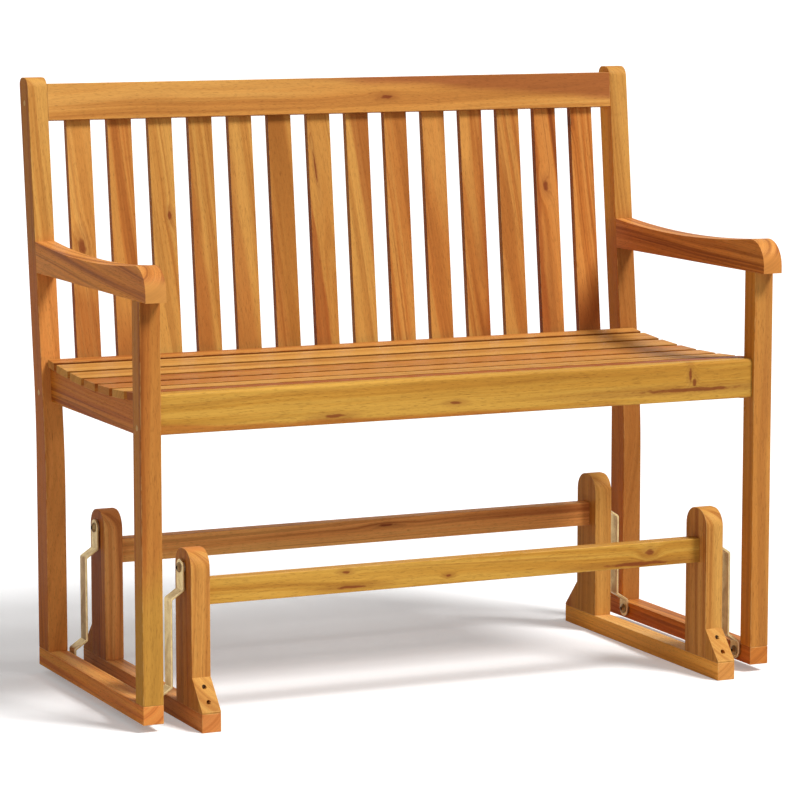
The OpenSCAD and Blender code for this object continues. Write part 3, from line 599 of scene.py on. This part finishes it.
PAINTED_GAP_SHADE = {"flank": (0, 1, 0), "flank_tint": (0.46, 0.34, 0.25)}
# Slat 1 at the front has a dark palette: painted shade for the shaded step between the apron and the seat
SEAT = {1: (UMBER_SHADE, 0.4), 2: (GOLD, 0.6), 3: (AMBER, 0.5), 4: (AMBER, 0.6), 5: (GOLD, 0.5), 6: (GOLD, 0.6)}
board("rear_seat_slat", X, Y, AMBER, 0.5, (0.01, 0.04, -0.05), SLIM_EASE, "slat_wood", seed=81, **PAINTED_GAP_SHADE)
SLAT_SEED = 18
chance = random.Random(SLAT_SEED)
for number, (palette, figure) in SEAT.items():
    pith = (chance.uniform(-0.012, 0.012), chance.uniform(-0.08, 0.08), -0.04)
    board("seat_slat_%d" % number, X, Y, palette, figure, pith, SLIM_EASE, "slat_wood",
          seed=90 + number, **PAINTED_GAP_SHADE)

# back slats

BACK = {1: (SUNNY, 0.7), 2: (AMBER, 0.5), 3: (GOLD, 0.6), 4: (GOLD, 0.7), 5: (GOLD, 0.6), 6: (GOLD, 0.5),
        7: (GOLD, 0.9), 8: (GOLD, 0.6), 9: (AMBER, 0.6), 10: (AMBER, 0.5), 11: (AMBER, 0.7), 12: (AMBER, 0.5),
        13: (EMBER, 0.8), 14: (EMBER, 0.7)}
# Slats that are red along one side or at one end: side, start, softness, share
STREAKS = {1: ((-1, -0.4, 0), 0.07, 0.04, 0.6), 2: ((-1, 0.4, 0), 0.12, 0.05, 0.5),
           4: ((0.02, -1, 0), 0.006, 0.005, 0.55), 5: ((0, -1, 0), 0.002, 0.006, 0.45),
           6: ((0.02, -1, 0), 0.012, 0.005, 0.45), 7: ((0, -1, 0), 0.012, 0.003, 0.75),
           8: ((0.02, 1, 0), 0.010, 0.004, 0.6), 11: ((-0.10, 1, 0), 0.014, 0.006, 0.7),
           13: ((0.06, -1, 0), 0.014, 0.004, 0.7), 14: ((-1, 0.5, 0), 0.10, 0.05, 0.8)}
SLAT_KNOTS = {1: [(-0.006, -0.004, 0.016, 0.0075, 0.008)], 3: [(0.036, 0.013, 0.009, 0.0040, 0.004)],
              7: [(0.110, 0.002, 0.030, 0.002, 0.008)], 13: [(0.063, 0.003, 0.011, 0.0050, 0.006)],
              14: [(0.170, -0.004, 0.012, 0.004, 0.005)]}
for number, (palette, figure) in BACK.items():
    # The back slats' sides get a darker, redder flank tint: painted shade
    options = {"seed": 110 + number, "knots": SLAT_KNOTS.get(number, ()), "flank_tint": (0.72, 0.56, 0.40)}
    if number in STREAKS:
        options.update(zip(("side", "start", "softness", "share"), STREAKS[number]), second=RED_STREAK)
    pith = (chance.uniform(-0.02, 0.02), chance.uniform(-0.05, 0.05), chance.choice([-0.04, 0.04]))
    board("back_slat_%d" % number, LEAN, X, palette, figure, pith, SLIM_EASE, "slat_wood", **options)

# straps, screws, washers, bolts and plugs

ZINC = metal("yellow_zinc", srgb(216, 190, 132), srgb(190, 160, 108), 0.36, 0.14)
STEEL = metal("dark_screws", srgb(84, 64, 46), srgb(58, 44, 32), 0.46, 0.14)
BRONZE = metal("pivot_screws", srgb(150, 122, 82), srgb(106, 84, 56), 0.40, 0.14)
WASHER = metal("zinc_washers", srgb(182, 172, 150), srgb(150, 140, 122), 0.36, 0.14)
# Dark metal for the key sockets: painted shade inside the recess
PAINTED_SOCKET_SHADE = metal("socket_shade", srgb(48, 38, 28), srgb(32, 26, 20), 0.60, 0.10)
PLUG = acacia("acacia_plugs", PALE, 0.3, (0, 0.02, 0.03), seed=5)
FITTINGS = {"link_front_left": (SLIM_EASE, "yellow_zinc", ZINC),
            "link_front_right": (SLIM_EASE, "yellow_zinc", ZINC),
            "link_rear_left": (SLIM_EASE, "yellow_zinc", ZINC),
            "link_rear_right": (SLIM_EASE, "yellow_zinc", ZINC),
            "upper_pivot_screws": (SCREW_EASE, "yellow_zinc", BRONZE, PAINTED_SOCKET_SHADE),
            "lower_pivot_screws": (SCREW_EASE, "yellow_zinc", BRONZE, PAINTED_SOCKET_SHADE),
            "upper_washers": (SCREW_EASE, "dark_steel", WASHER),
            "lower_washers": (SCREW_EASE, "dark_steel", WASHER),
            "gusset_screws": (SCREW_EASE, "dark_steel", STEEL),
            "frame_bolts": (SCREW_EASE, "dark_steel", STEEL),
            "seat_screws": (SCREW_EASE, "dark_steel", STEEL),
            "bolt_plugs": (PLUG_EASE, "plug_wood", PLUG)}
for name, settings in FITTINGS.items():
    piece_from(name, X, Y, *settings, every_edge=True, segments=2)
nodes["frame_dowels"].data.materials[0] = PLUG


# floor and daylight

FLOOR_SIDE, FLOOR_BACK = 40, 60
FLOOR_COLOUR, FLOOR_TOOTH, FLOOR_GLOW, FLOOR_LIT = 0.84, 0.02, 0.24, 0.60
WORLD_SEEN, WORLD_LIT = 1.0, 0.30


def seen_or_lit(tree, seen, lit):
    """Mixes two shaders: seen by the camera and in gloss, lit for the light that the rest gets."""
    path = tree.node("LightPath").outputs
    gloss = tree.math("MAXIMUM", path["Is Glossy Ray"], path["Is Transmission Ray"])
    watched = tree.math("MAXIMUM", path["Is Camera Ray"], gloss)
    return tree.node("MixShader", {0: watched, 1: lit, 2: seen}).outputs[0]


floor_mesh = bpy.data.meshes.new("floor")
floor_mesh.from_pydata([(-FLOOR_SIDE, -FLOOR_SIDE, 0), (FLOOR_SIDE, -FLOOR_SIDE, 0),
                        (FLOOR_SIDE, FLOOR_BACK, 0), (-FLOOR_SIDE, FLOOR_BACK, 0)], [], [(0, 1, 2, 3)])
floor = bpy.data.objects.new("floor", floor_mesh)
bpy.context.scene.collection.objects.link(floor)
paper = bpy.data.materials.new("floor_paper")
paper.use_nodes = True
tree = Tree(paper.node_tree)
tooth = tree.noise(tree.scaled(tree.node("TexCoord").outputs["Object"], (180, 180, 180)), 3.0, 0.6)
bright = tree.math("MULTIPLY_ADD", tooth, FLOOR_TOOTH, FLOOR_COLOUR)
paint = tree.node("BsdfDiffuse", {"Color": tree.grey(bright)}).outputs[0]
glow = tree.node("Emission", {"Color": (1, 1, 1, 1), "Strength": FLOOR_GLOW}).outputs[0]
seen = tree.node("AddShader", {0: paint, 1: glow}).outputs[0]
lit = tree.node("BsdfDiffuse", {"Color": (FLOOR_LIT, FLOOR_LIT, FLOOR_LIT, 1)}).outputs[0]
tree.put(seen_or_lit(tree, seen, lit), paper.node_tree.nodes["Material Output"].inputs["Surface"])
floor_mesh.materials.append(paper)

world = bpy.data.worlds.new("studio")
world.use_nodes = True
bpy.context.scene.world = world
tree = Tree(world.node_tree)
white = tree.node("Background", {"Color": (1, 1, 1, 1), "Strength": WORLD_SEEN}).outputs[0]
dim = tree.node("Background", {"Color": (1, 1, 1, 1), "Strength": WORLD_LIT}).outputs[0]
tree.put(seen_or_lit(tree, white, dim), world.node_tree.nodes["World Output"].inputs["Surface"])


# lamps and camera

def sun(name, towards, strength, spread):
    """A sun that shines towards a direction, with soft shadows from its spread in degrees."""
    lamp = bpy.data.lights.new(name, "SUN")
    lamp.energy = strength
    lamp.angle = math.radians(spread)
    made = bpy.data.objects.new(name, lamp)
    made.rotation_euler = Vector(towards).to_track_quat("-Z", "Y").to_euler()
    bpy.context.scene.collection.objects.link(made)


sun("key", towards=(-0.40, 0.56, -0.86), strength=3.5, spread=18)
sun("fill", towards=(0.55, 0.70, -0.60), strength=0.15, spread=60)

CAMERA_PLACE = (-2.262395, -4.962446, 1.181674)
CAMERA_DOWN, CAMERA_TURN = 7.835, -24.5
LENS, SENSOR = 158.04, 36.0
SIGHT = 200.0

camera_data = bpy.data.cameras.new("camera")
camera_data.lens = LENS
camera_data.sensor_width = SENSOR
camera_data.clip_end = SIGHT
camera = bpy.data.objects.new("camera", camera_data)
camera.location = CAMERA_PLACE
camera.rotation_euler = (math.radians(90 - CAMERA_DOWN), 0.0, math.radians(CAMERA_TURN))
bpy.context.scene.collection.objects.link(camera)
bpy.context.scene.camera = camera
bpy.context.scene.view_settings.view_transform = "Standard"
